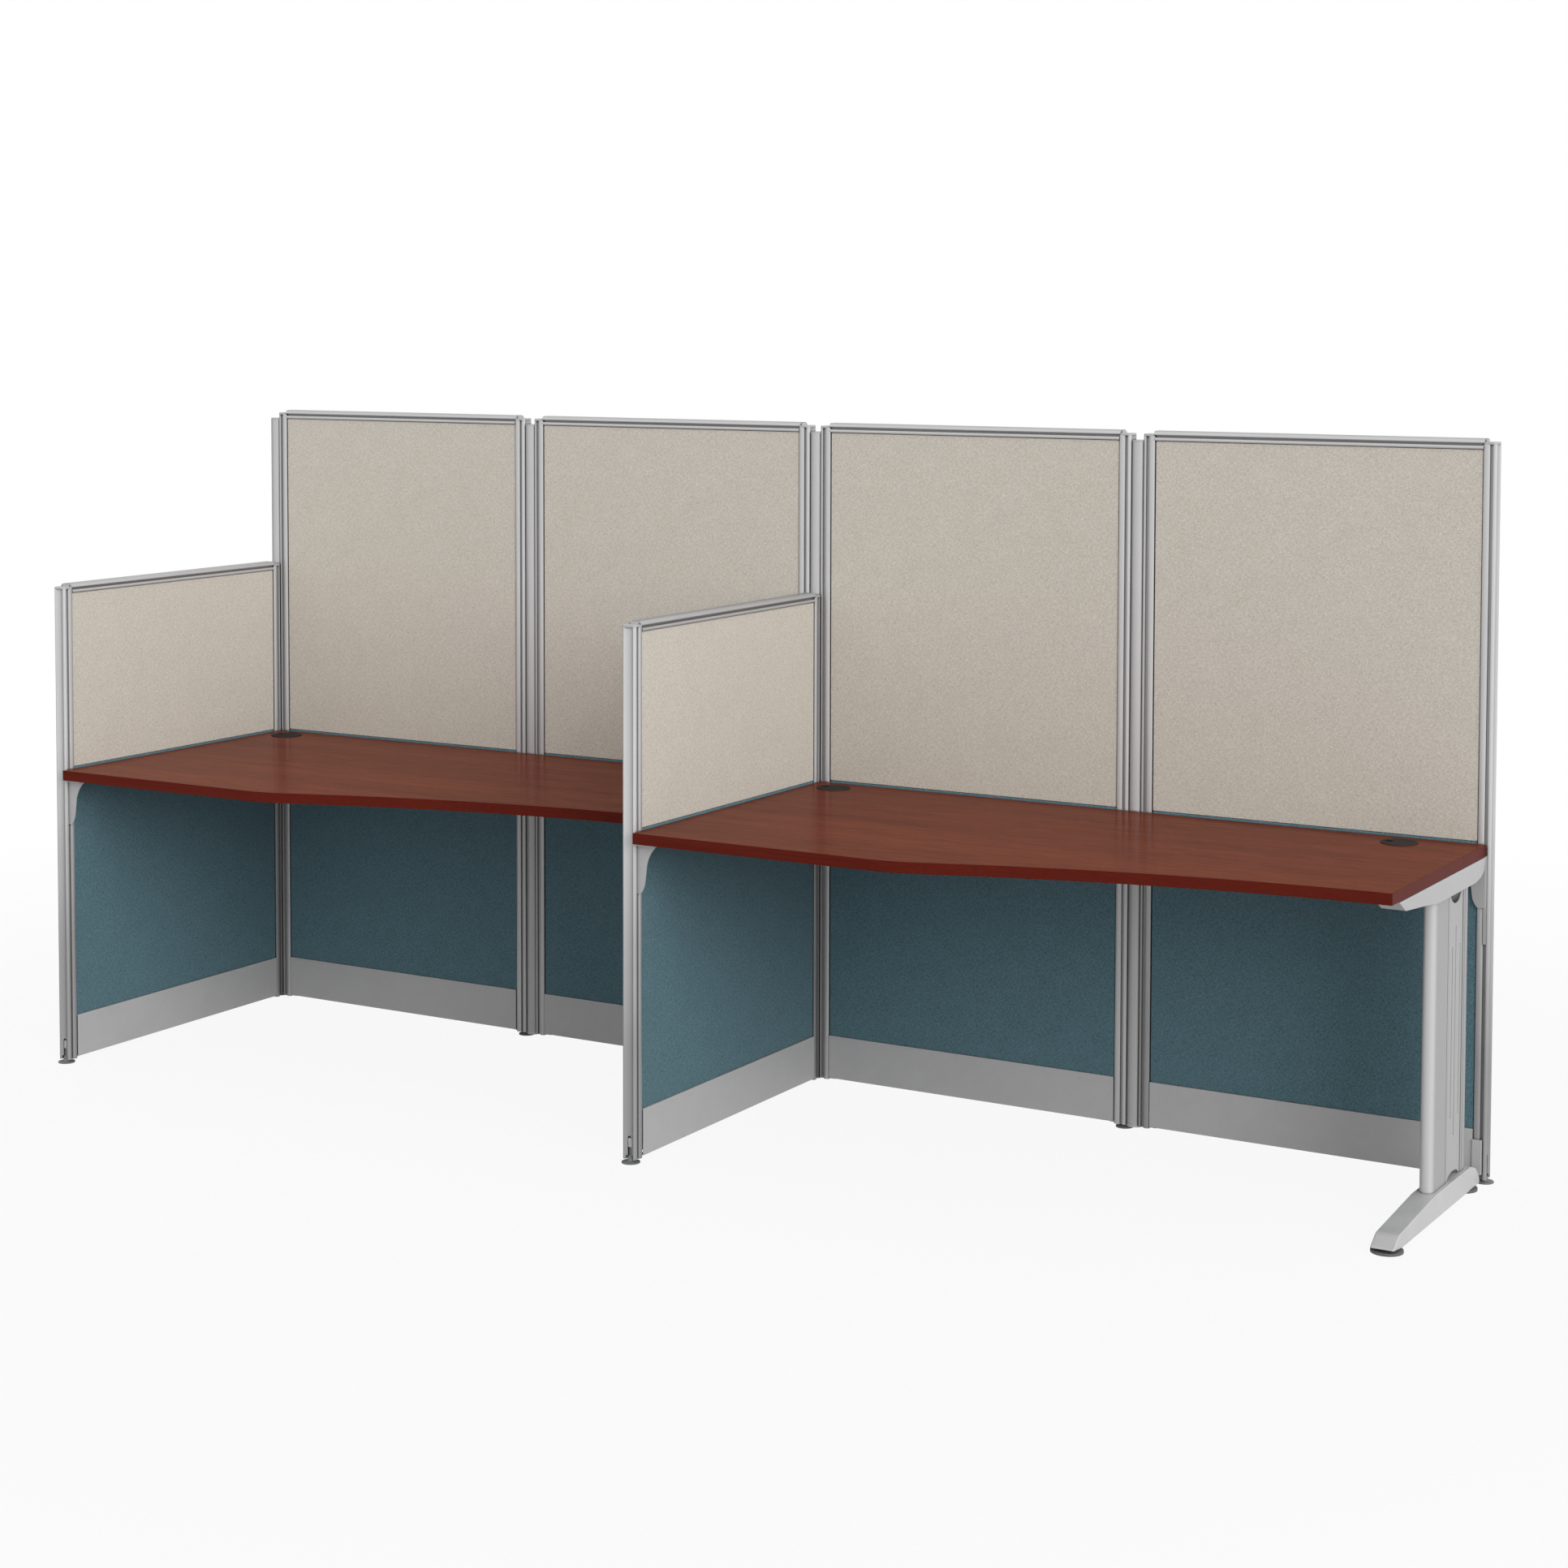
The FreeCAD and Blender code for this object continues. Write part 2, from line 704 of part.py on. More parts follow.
def worktop(station):
    core = worktop_outline().makeOffset2D(-edge_band_thickness)
    board = core.extrude(point(0, 0, worktop_thickness))
    board = moved(board, station_x(station), -worktop_back, worktop_underside)
    for x, y in grommet_places(station):
        hole_radius = grommet_sleeve_radius + grommet_hole_gap
        board = board.cut(rod(hole_radius, point(x, y, worktop_underside - overrun),
                              point(x, y, worktop_height + overrun)))
    for x, y in screw_places(station):
        board = board.cut(rod(screw_radius + screw_hole_gap, point(x, y, worktop_underside - overrun),
                              point(x, y, worktop_underside + screw_length + running_gap)))
    return [board]


def edge_bands():
    bands = []
    for station in range(station_count):
        outer = worktop_outline()
        band = outer.cut(outer.makeOffset2D(-edge_band_thickness))
        band = band.extrude(point(0, 0, worktop_thickness))
        bands.append(moved(band, station_x(station), -worktop_back, worktop_underside))
    return bands


# Cable grommets: a flanged ring in each hole and a loose cap with a cable notch that turns in it
def grommet_ring(x, y):
    top = worktop_height + grommet_flange_height
    ledge = top - grommet_cap_thickness
    low = worktop_height - grommet_sleeve_depth
    edge = grommet_flange_edge
    profile = [(grommet_bore_radius, low), (grommet_sleeve_radius, low),
               (grommet_sleeve_radius, worktop_height), (grommet_flange_radius, worktop_height),
               (grommet_flange_radius, top - edge),
               (grommet_flange_radius - edge, top), (grommet_cap_radius + running_gap, top),
               (grommet_cap_radius + running_gap, ledge), (grommet_bore_radius, ledge)]
    wire = Part.makePolygon([point(r, 0, z) for r, z in profile + profile[:1]])
    return moved(Part.Face(wire).revolve(origin, up, 360), x, y)


def grommet_rings():
    places = [place for station in range(station_count) for place in grommet_places(station)]
    return [grommet_ring(x, y) for x, y in places]


def grommet_cap(x, y):
    top = worktop_height + grommet_flange_height
    low = top - grommet_cap_thickness
    cap = rod(grommet_cap_radius, point(0, 0, low), point(0, 0, top))
    skirt_radius = grommet_bore_radius - running_gap
    skirt = rod(skirt_radius, point(0, 0, low - grommet_skirt_depth), point(0, 0, low))
    skirt = skirt.cut(rod(skirt_radius - grommet_skirt_wall, point(0, 0, low - grommet_skirt_depth - overrun),
                          point(0, 0, low)))
    half = grommet_notch_width / 2
    inner = grommet_notch_depth - grommet_cap_radius
    outer = -grommet_cap_radius - overrun
    notch = rounded_face([(outer, -half, 0), (inner, -half, grommet_notch_corner),
                          (inner, half, grommet_notch_corner), (outer, half, 0)])
    notch = moved(notch.extrude(point(0, 0, grommet_flange_radius)), 0, 0, low - grommet_flange_radius / 2)
    return moved(cap.fuse(skirt).removeSplitter().cut(notch), x, y)


# Brackets: an ogee plate hooked in a stile groove, with a thin flange screwed under the worktop
def ogee(back, face):
    """The bracket's outline from its straight back at x = back, the ogee measured from x = face."""
    curve = [point(face + reach * bracket_reach, -drop * bracket_height)
             for reach, drop in bracket_ogee_shares]
    steps = [curve[0], (curve[1], curve[2]), curve[3], (curve[4], curve[5]), point(back, -bracket_height),
             point(back, 0)]
    return Part.Face(Part.Wire(chain(point(back, 0), steps)))


def bracket_plate():
    """The plate in the xz plane from the groove floor outward along x, its top at the worktop."""
    start = groove_half + running_gap
    plate = ogee(start, bead_crest_half).extrude(point(0, 0, bracket_sheet))
    plate.rotate(origin, point(1, 0, 0), 90)
    return moved(plate, 0, bracket_sheet / 2)


def bracket():
    """Plate and flange, reaching along +x from the panel's middle plane at x = 0."""
    start = bead_crest_half + running_gap
    flange = block(start, bead_crest_half + bracket_reach, -bracket_flange_wide, bracket_flange_narrow,
                   -bracket_sheet, 0)
    return bracket_plate().fuse(flange).removeSplitter()


def turned_bracket():
    """A plate lying flat against the panel's face beside the leg beam, with a long tab in the groove."""
    half = bracket_sheet / 2
    tab_half = (groove_end - bead_end) / 2 - turned_bracket_tab_gap
    face = bead_crest_half + running_gap
    plate = ogee(-half, turned_bracket_shift).extrude(point(0, 0, bracket_sheet))
    plate.rotate(origin, point(1, 0, 0), 90)
    plate = moved(plate.mirror(origin, point(1, 0)), 0, -face)
    tab = block(-tab_half, tab_half, -face, -groove_half - running_gap, -turned_bracket_tab_height, 0)
    return plate.fuse(tab).removeSplitter()


def station_brackets(station):
    top = worktop_underside
    side = side_panels[station]
    first = back_panels[station * panels_per_station]
    last = back_panels[(station + 1) * panels_per_station - 1]
    front_y = side.y - side.width - groove_middle
    shapes = [moved(bracket(), side.x, front_y, top)]
    rear = turned(bracket(), -90)
    mirrored_rear = rear.mirror(origin, point(1, 0))
    shapes.append(moved(mirrored_rear, first.x - groove_middle, first.y, top))
    shapes.append(moved(rear, first.x + first.width + groove_middle, first.y, top))
    shapes.append(moved(turned_bracket(), last.x + last.width + groove_middle, last.y, top))
    return shapes


def brackets():
    return [shape for station in range(station_count) for shape in station_brackets(station)]


# Legs: a beam under the worktop's right end, a column with two covers and a foot bar on two glides
def leg_x(station):
    return station_x(station) + worktop_length


def beam_top():
    return worktop_underside - beam_gap


def leg_beam(station):
    length = beam_front - beam_rear
    corners = [(-beam_rear - along * length, beam_top() - drop * beam_depth, rounding * beam_depth)
               for along, drop, rounding in beam_shares]
    right = leg_x(station)
    beam = standing_prism(rounded_face(corners), right - beam_width, right)
    for end in (-beam_rear - beam_pad_from_end, -beam_front + beam_pad_from_end + beam_pad_length):
        pad = block(right - beam_width + overrun, right - overrun, end - beam_pad_length, end, beam_top(),
                    worktop_underside)
        beam = beam.fuse(pad)
    for x, y in beam_screw_places(station):
        start = point(x, y, beam_top() - beam_depth - overrun)
        beam = beam.cut(rod(screw_radius + screw_hole_gap, start, point(x, y, worktop_underside + overrun)))
        beam = beam.cut(rod(screw_head_radius + screw_hole_gap, start,
                            point(x, y, beam_screw_low() + screw_head_height)))
    return rod_holes(beam.removeSplitter(), station)


def column_end(nose_y, joint_y, direction):
    """One rounded extrusion, from its nose to the joint with the covers."""
    half = column_thickness / 2
    low = foot_bar_top
    height = beam_top() - beam_depth - low
    centre_y = nose_y + direction * half
    outer = Part.makeCylinder(half, height, point(0, centre_y, low))
    outer = outer.fuse(block(-half, half, min(centre_y, joint_y), max(centre_y, joint_y), low, low + height))
    inner_half = half - column_wall
    inner_joint = joint_y - direction * column_wall
    inner = Part.makeCylinder(inner_half, height, point(0, centre_y, low))
    inner = inner.fuse(block(-inner_half, inner_half, min(centre_y, inner_joint), max(centre_y, inner_joint),
                             low, low + height))
    ledge_half = half - cover_recess - cover_thickness
    ledge_y = joint_y + direction * cover_ledge
    ledge = block(-ledge_half, ledge_half, min(joint_y, ledge_y), max(joint_y, ledge_y), low, low + height)
    line_y = joint_y - direction * column_line_from_joint
    line_half = column_line_width / 2
    shape = outer.cut(inner).fuse(ledge).removeSplitter()
    for side in (-1, 1):
        x_low, x_high = sorted((side * (half - column_line_depth), side * (half + overrun)))
        shape = shape.cut(block(x_low, x_high, line_y - line_half, line_y + line_half, low, low + height))
    return shape


def leg_columns():
    shapes = []
    for station in range(station_count):
        x = leg_x(station) - column_centre_inset
        for nose_y, joint_y, direction in ((-column_front, -cover_front, 1), (-column_rear, -cover_rear, -1)):
            shapes.append(moved(column_end(nose_y, joint_y, direction), x, 0))
    return shapes


def cover(side):
    """A cover plate with a half-oval cable cut-out at each end and three narrow slots."""
    half = column_thickness / 2 - cover_recess
    low = foot_bar_top
    high = beam_top() - beam_depth
    x_low, x_high = sorted((side * (half - cover_thickness), side * half))
    front = -cover_front + cover_gap
    rear = -cover_rear - cover_gap
    plate = block(x_low, x_high, front, rear, low, high)
    middle = (front + rear) / 2
    for end, height in zip((low, high), cover_cutout_heights):
        oval = Part.Ellipse(point(middle, end), cover_cutout_width / 2, height)
        face = Part.Face(Part.Wire([oval.toShape()]))
        plate = plate.cut(standing_prism(face, x_low - overrun, x_high + overrun))
    slot_half_width = cover_slot_width / 2
    for along, start_share, end_share in cover_slot_shares:
        y = front + along * (rear - front)
        z_low = low + start_share * (high - low)
        z_high = low + end_share * (high - low)
        plate = plate.cut(block(x_low - overrun, x_high + overrun, y - slot_half_width, y + slot_half_width,
                                z_low, z_high))
    return plate


def leg_covers():
    shapes = []
    for station in range(station_count):
        shapes += [moved(cover(side), leg_x(station) - column_centre_inset, 0) for side in (-1, 1)]
    return shapes


def glide_places(station):
    x = leg_x(station) - foot_bar_width / 2
    return [(x, -foot_bar_rear - glide_from_ends[0]), (x, -foot_bar_front + glide_from_ends[1])]


def foot_bar(station):
    length = foot_bar_front - foot_bar_rear
    height = foot_bar_top - foot_bar_bottom
    corners = [(-foot_bar_rear - along * length, foot_bar_bottom + rise * height, rounding * height)
               for along, rise, rounding in foot_bar_shares]
    right = leg_x(station)
    bar = standing_prism(rounded_face(corners), right - foot_bar_width, right)
    long_edges = [edge for edge in bar.Edges if edge.BoundBox.XLength < running_gap]
    bar = bar.makeFillet(foot_bar_edge_radius, long_edges)
    for x, y in glide_places(station):
        neck = glide_neck_radius + running_gap
        bar = bar.cut(rod(neck, point(x, y, 0), point(x, y, glide_neck_top + running_gap)))
        stem = glide_stem_radius + running_gap
        bar = bar.cut(rod(stem, point(x, y, 0), point(x, y, glide_stem_top + running_gap)))
    return rod_holes(bar.cut(link_tongue(station, running_gap)), station)


def glide(x, y):
    profile = [point(0, 0, 0), point(glide_radius, 0, 0), point(glide_radius, 0, glide_rim_height),
               point(glide_radius - running_gap, 0, glide_top), point(glide_neck_radius, 0, glide_top),
               point(glide_neck_radius, 0, glide_neck_top), point(glide_stem_radius, 0, glide_neck_top),
               point(glide_stem_radius, 0, glide_stem_top), point(0, 0, glide_stem_top)]
    return moved(Part.Face(Part.makePolygon(profile + profile[:1])).revolve(origin, up, 360), x, y)


def link_tongue(station, gap):
    """The link plate's tongue in the foot bar, or with a gap its slot."""
    x = leg_x(station) - link_tongue_from_edge
    return block(x - link_thickness - gap, x + gap, -foot_bar_rear - link_tongue_length - gap, -worktop_back,
                 link_tongue_bottom - gap, link_tongue_top + gap)


def link_plate(station):
    """The plate that ties a foot bar to the stile behind it, hooked in the stile's groove."""
    panel = back_panels[(station + 1) * panels_per_station - 1]
    left = panel.x + panel.width + running_gap
    tab_left = panel.x + panel.width + groove_middle - bracket_sheet / 2
    right = tab_left + bracket_sheet
    plate = block(left, right, -worktop_back - link_thickness, -worktop_back, link_bottom, link_top)
    tab_end = tile_front - groove_half - running_gap
    tab = block(tab_left, right, -worktop_back, tab_end, link_bottom, link_top)
    return plate.fuse(tab).fuse(link_tongue(station, 0)).removeSplitter()


# Wood screws: two through each side or rear bracket flange, two up through each end of a beam
def bracket_screw_places(station):
    side = side_panels[station]
    first = back_panels[station * panels_per_station]
    shift = (bracket_flange_wide + bracket_sheet / 2) / 2
    out = bead_crest_half + bracket_reach / 4
    front_y = side.y - side.width - groove_middle
    places = [(side.x + out, front_y - shift), (side.x + out + screw_spacing, front_y - shift)]
    for x in (first.x - groove_middle + shift, first.x + first.width + groove_middle - shift):
        places += [(x, first.y - out), (x, first.y - out - screw_spacing)]
    return places


def beam_screw_places(station):
    x = leg_x(station) - beam_width / 2
    shift = beam_pad_from_end + beam_pad_length / 2
    return [(x, -beam_rear - shift), (x, -beam_front + shift)]


def beam_screw_low():
    return worktop_underside + screw_length - screw_beam_length


def screw_places(station):
    return bracket_screw_places(station) + beam_screw_places(station)


def screw(x, y, seat, tip):
    shape = rod(screw_radius, point(x, y, seat), point(x, y, tip))
    head = rod(screw_head_radius, point(x, y, seat - screw_head_height), point(x, y, seat))
    return shape.fuse(head).removeSplitter()


def screws():
    shapes = []
    tip = worktop_underside + screw_length
    for station in range(station_count):
        for x, y in bracket_screw_places(station):
            shapes.append(screw(x, y, worktop_underside - bracket_sheet, tip))
        for x, y in beam_screw_places(station):
            shapes.append(screw(x, y, beam_screw_low() + screw_head_height, tip))
    return shapes


def drilled_brackets():
    """The brackets with clearance for their screws."""
    shapes = brackets()
    for station in range(station_count):
        for x, y in bracket_screw_places(station):
            hole = rod(screw_radius + screw_hole_gap,
                       point(x, y, worktop_underside - bracket_sheet - overrun),
                       point(x, y, worktop_underside + overrun))
            shapes = [shape.cut(hole) if shape.BoundBox.intersect(hole.BoundBox) else shape
                      for shape in shapes]
    return shapes


# Export, with the origin on the floor under the middle of the whole object
def save(name, solids):
    shape = solids[0] if len(solids) == 1 else Part.makeCompound(solids)
    shape = moved(shape, -centre_x, -centre_y)
    assert shape.isValid(), name
    shape.exportStep(f"parts/{name}.step")
    print(name, len(shape.Solids), "solids")


os.makedirs("parts", exist_ok=True)
for panel in panels:
    save(f"{panel.name}_stiles", stiles(panel))
    save(f"{panel.name}_top_rail", top_rail(panel))
    save(f"{panel.name}_upper_tiles", upper_tiles(panel))
    save(f"{panel.name}_lower_tiles", lower_tiles(panel))
    save(f"{panel.name}_foot", foot(panel))
for panel in back_panels:
    save(f"{panel.name}_kick_plates", kick_plates(panel))
save("side_kick_plates", [plate for panel in side_panels for plate in kick_plates(panel)])
save("cross_rails", [rail for panel in panels for rail in cross_rails(panel)])
save("stile_caps", [cap for panel in panels for cap in stile_caps(panel)])
save("foot_inserts", [foot_insert(panel) for panel in panels])
save("posts", posts())
save("post_ends", post_ends())
save("frame_bolts", frame_bolts())
for station, name in enumerate(("left", "right")):
    save(f"worktop_{name}", worktop(station))
    for number, (x, y) in enumerate(grommet_places(station)):
        save(f"grommet_cap_{name}_{number + 1}", [grommet_cap(x, y)])
    for end, (x, y) in zip(("rear", "front"), glide_places(station)):
        save(f"glide_{name}_{end}", [glide(x, y)])
save("edge_bands", edge_bands())
save("grommet_rings", grommet_rings())
save("brackets", drilled_brackets())
save("leg_beams", [leg_beam(station) for station in range(station_count)])
save("leg_columns", leg_columns())
save("leg_covers", leg_covers())
save("foot_bars", [foot_bar(station) for station in range(station_count)])
save("link_plates", [link_plate(station) for station in range(station_count)])
save("screws", screws())
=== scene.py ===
import bpy
import math
from mathutils import Matrix, Vector


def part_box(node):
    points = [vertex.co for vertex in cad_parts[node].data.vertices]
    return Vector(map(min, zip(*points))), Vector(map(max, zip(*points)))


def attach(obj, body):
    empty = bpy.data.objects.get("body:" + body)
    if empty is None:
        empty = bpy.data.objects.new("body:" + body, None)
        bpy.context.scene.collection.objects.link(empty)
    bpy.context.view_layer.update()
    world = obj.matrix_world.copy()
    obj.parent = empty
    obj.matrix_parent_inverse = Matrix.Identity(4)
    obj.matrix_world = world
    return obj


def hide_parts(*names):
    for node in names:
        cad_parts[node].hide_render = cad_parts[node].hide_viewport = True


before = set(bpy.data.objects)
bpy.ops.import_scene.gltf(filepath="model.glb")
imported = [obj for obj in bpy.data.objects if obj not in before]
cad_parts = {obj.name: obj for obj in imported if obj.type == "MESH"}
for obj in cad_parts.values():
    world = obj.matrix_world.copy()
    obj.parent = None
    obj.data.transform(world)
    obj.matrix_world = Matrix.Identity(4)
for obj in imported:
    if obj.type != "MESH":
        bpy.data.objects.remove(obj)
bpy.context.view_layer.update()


# Viewpoint. The picture was taken from the front right, from a standing person's eye height, with
# the film shifted so that the uprights stay nearly straight.
view_turn = math.radians(30.438)
view_drop = math.radians(3.13)
view_roll = math.radians(0.123)
eye = Vector((3.49145, -5.67505, 1.8551))
focal_length = 67.135
film_width = 36.0
film_shift = -0.1982
sight_limit = 60.0

sight = Vector((-math.sin(view_turn) * math.cos(view_drop), math.cos(view_turn) * math.cos(view_drop),
                -math.sin(view_drop)))
across = sight.cross(Vector((0, 0, 1))).normalized()
upward = across.cross(sight)
turned_across = across * math.cos(view_roll) + upward * math.sin(view_roll)
turned_upward = upward * math.cos(view_roll) - across * math.sin(view_roll)
lens = bpy.data.cameras.new("viewpoint")
lens.lens = focal_length
lens.sensor_width = film_width
lens.shift_y = film_shift
lens.clip_end = sight_limit
viewpoint = bpy.data.objects.new("viewpoint", lens)
viewpoint.matrix_world = Matrix((
    (turned_across.x, turned_upward.x, -sight.x, eye.x),
    (turned_across.y, turned_upward.y, -sight.y, eye.y),
    (turned_across.z, turned_upward.z, -sight.z, eye.z),
    (0, 0, 0, 1)))
bpy.context.scene.collection.objects.link(viewpoint)
bpy.context.scene.camera = viewpoint


# Stiles. Silver anodised aluminium extrusions, cut square and bolted to the posts, with fine
# drawing lines left along their length by the die. The last back panel and the sides get most painted shade
# low down.
full_shade = 255
shade_offset = 0.055
shade_power = 2.4
colour_factor, colour_first, colour_second, colour_result = 0, 6, 7, 2
edge_samples = 6
flat_cosine = 0.99
edge_cosine = 0.90


class Value:
    """A shader socket that can stand in a Python expression."""

    def __init__(self, finish, socket):
        self.finish = finish
        self.socket = socket

    def work(self, operation, other):
        return self.finish.add("ShaderNodeMath", {"operation": operation}, {0: self, 1: other})

    def __add__(self, other):
        return self.work("ADD", other)

    def __sub__(self, other):
        return self.work("SUBTRACT", other)

    def __mul__(self, other):
        return self.work("MULTIPLY", other)

    def __pow__(self, other):
        return self.work("POWER", other)

    __radd__ = __add__


class Finish:
    """A material. Its constants are named sockets of the surface, and add() puts in any node."""

    def __init__(self, name, **constants):
        self.material = bpy.data.materials.new(name)
        self.material.use_nodes = True
        self.tree = self.material.node_tree
        self.surface = self.tree.nodes["Principled BSDF"]
        self.feed(**constants)

    def put(self, socket, value):
        if isinstance(value, Value):
            self.tree.links.new(value.socket, socket)
        else:
            socket.default_value = value

    def feed(self, **values):
        for name, value in values.items():
            self.put(self.surface.inputs[name.replace("_", " ")], value)

    def add(self, kind, settings, sockets, out=0):
        node = self.tree.nodes.new(kind)
        for name, value in settings.items():
            setattr(node, name, value)
        for name, value in sockets.items():
            self.put(node.inputs[name], value)
        return Value(self, node.outputs[out])

    def place(self, stretch=(1, 1, 1)):
        """The point on the piece, stretched along each axis."""
        here = self.add("ShaderNodeTexCoord", {}, {}, "Object")
        return self.add("ShaderNodeMapping", {}, {"Vector": here, "Scale": stretch, "Rotation": (0, 0, 0)})

    def noise(self, place, scale=1.0, detail=2.0, rough=0.5):
        return self.add("ShaderNodeTexNoise", {}, {"Vector": place, "Scale": scale, "Detail": detail,
                                                   "Roughness": rough})

    def ramp(self, value, low, high, start=0.0, end=1.0):
        """value from low to high, taken to start to end and held there."""
        return self.add("ShaderNodeMapRange", {}, {"Value": value, "From Min": low, "From Max": high,
                                                   "To Min": start, "To Max": end})

    def blend(self, factor, first, second):
        """The first colour where factor is 0, the second where it is 1."""
        return self.add("ShaderNodeMix", {"data_type": "RGBA"},
                        {colour_factor: factor, colour_first: first, colour_second: second}, colour_result)

    def eased(self, radius):
        """The surface's direction with its edges eased by a radius."""
        return self.add("ShaderNodeBevel", {"samples": edge_samples}, {"Radius": radius})

    def edge_share(self, eased):
        """1 on an edge that is eased, 0 on the flat."""
        flat = self.add("ShaderNodeNewGeometry", {}, {}, "Normal")
        along = self.add("ShaderNodeVectorMath", {"operation": "DOT_PRODUCT"}, {0: eased, 1: flat}, "Value")
        return self.ramp(along, flat_cosine, edge_cosine)

    def relief(self, height, distance, strength, eased=None):
        """Raise the surface by height times distance in metres."""
        sockets = {"Height": height, "Distance": distance, "Strength": strength}
        if eased:
            sockets["Normal"] = eased
        self.feed(Normal=self.add("ShaderNodeBump", {}, sockets))


def paint(red, green, blue):
    """A colour as the eye reads it, 11 to 255, for a shader."""
    shades = [((shade / full_shade + shade_offset) / (1 + shade_offset)) ** shade_power
              for shade in (red, green, blue)]
    return (*shades, 1)


def dress(finish, nodes):
    """Give a finish to pieces of the frame."""
    for node in nodes:
        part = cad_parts[node]
        if not part.material_slots:
            part.data.materials.append(finish.material)
        for held in part.material_slots:
            held.material = finish.material


drawn_lines = 1400
along_lines = 5
line_contrast = (0.32, 0.68)
line_relief = 0.000003
line_relief_strength = 0.5
wear_scale = 9.0
worn_range = (0.45, 0.75)
line_share, wear_share = 0.7, 0.3
groove_samples = 8
groove_reach = 0.006
groove_closed, groove_open = 0.3, 0.9
painted_groove_shade = paint(42, 42, 43)
facing_blend = 0.5
painted_slant_shade = paint(96, 96, 98)
side_shade_start, side_shade_end, side_shade_share = 0.2, 0.95, 0.75
low_shade_grey = paint(84, 84, 86)
shade_full_below, shade_none_above, low_shade_ragged = 0.3, 0.85, 0.1
rough_by_line = 0.06
rough_by_wear = 0.06


def silver(name, stretch, light, dark, roughness, metal, painted_low_shade=0.0):
    """Aluminium: fine drawing lines, with painted shade in its grooves, at a slant and toward the floor."""
    finish = Finish(name, Metallic=metal)
    lines = finish.noise(finish.place(stretch), detail=3.0, rough=0.6)
    wear = finish.noise(finish.place(), wear_scale, detail=4.0, rough=0.6)
    tone = finish.ramp(lines * line_share + wear * wear_share, *line_contrast)
    # Painted shade: grooves and gaps between parts darken where ambient occlusion finds them closed.
    open_share = finish.add("ShaderNodeAmbientOcclusion", {"samples": groove_samples},
                            {"Distance": groove_reach}, "AO")
    # Painted shade where the surface turns away from the view, standing in for dark surroundings that metal
    # reflects.
    turned_away = finish.add("ShaderNodeLayerWeight", {}, {"Blend": facing_blend}, "Facing")
    painted_slant_share = finish.ramp(turned_away, side_shade_start, side_shade_end, 0.0, side_shade_share)
    clean = finish.blend(painted_slant_share, finish.blend(tone, dark, light), painted_slant_shade)
    # Painted shade: darker toward the floor, with a ragged top edge from the wear noise.
    if painted_low_shade:
        height = finish.add("ShaderNodeSeparateXYZ", {}, {"Vector": finish.place()}, "Z")
        low_shade_share = finish.ramp(height + wear * low_shade_ragged, shade_full_below, shade_none_above, painted_low_shade, 0.0)
        clean = finish.blend(low_shade_share, clean, low_shade_grey)
    openness = finish.ramp(open_share, groove_closed, groove_open)
    finish.feed(Base_Color=finish.blend(openness, painted_groove_shade, clean),
                Roughness=roughness + lines * rough_by_line + finish.ramp(wear, *worn_range) * rough_by_wear)
    finish.relief(lines, line_relief, line_relief_strength)
    return finish


panel_names = ("back_1", "back_2", "back_3", "back_4", "side_left", "side_right")
inner_panels = 3
upright_lines = (drawn_lines, drawn_lines, along_lines)
stile_light, stile_dark = paint(199, 199, 199), paint(191, 191, 192)
# The end stiles get more painted shade toward the floor than the inner ones.
end_silver = silver("end_silver", upright_lines, stile_light, stile_dark, roughness=0.28, metal=0.12,
                    painted_low_shade=0.55)
inner_silver = silver("inner_silver", upright_lines, stile_light, stile_dark, roughness=0.28, metal=0.12,
                      painted_low_shade=0.2)
dress(inner_silver, [f"{name}_stiles" for name in panel_names[:inner_panels]])
dress(end_silver, [f"{name}_stiles" for name in panel_names[inner_panels:]])


# Top rails. The same extruded aluminium lying down along the top of each panel, notched at both
# ends so that its crown reaches over the stiles.
back_panels = 4
rail_light, rail_dark = paint(197, 197, 197), paint(189, 189, 190)
back_rail_silver = silver("back_rail_silver", (along_lines, drawn_lines, drawn_lines), rail_light, rail_dark,
                          roughness=0.28, metal=0.12)
side_rail_silver = silver("side_rail_silver", (drawn_lines, along_lines, drawn_lines), rail_light, rail_dark,
                          roughness=0.28, metal=0.12)
dress(back_rail_silver, [f"{name}_top_rail" for name in panel_names[:back_panels]])
dress(side_rail_silver, [f"{name}_top_rail" for name in panel_names[back_panels:]])


# Cloth tiles. Woven cloth wrapped round a thin tack board, clipped on both faces of every panel,
# pale beige above the worktop and slate blue below it.
board_back = 0.007
board_depth = 0.008
edge_round = 0.0012
corner_round = 0.003
pillow = 0.0004
pillow_power = 4
rows_near_edge = (0, 0.0003, 0.0008, 0.0015, 0.0023, 0.0032, 0.0045, 0.007, 0.012, 0.025)
rows_between = 12
quarter_turn = 90
half_turn = 180


def insets(length):
    """Distances along a side, close together near its ends."""
    first = rows_near_edge[-1]
    step = (length - 2 * first) / rows_between
    middle = [first + step * index for index in range(1, rows_between)]
    return [*rows_near_edge, *middle, *(length - value for value in reversed(rows_near_edge))]


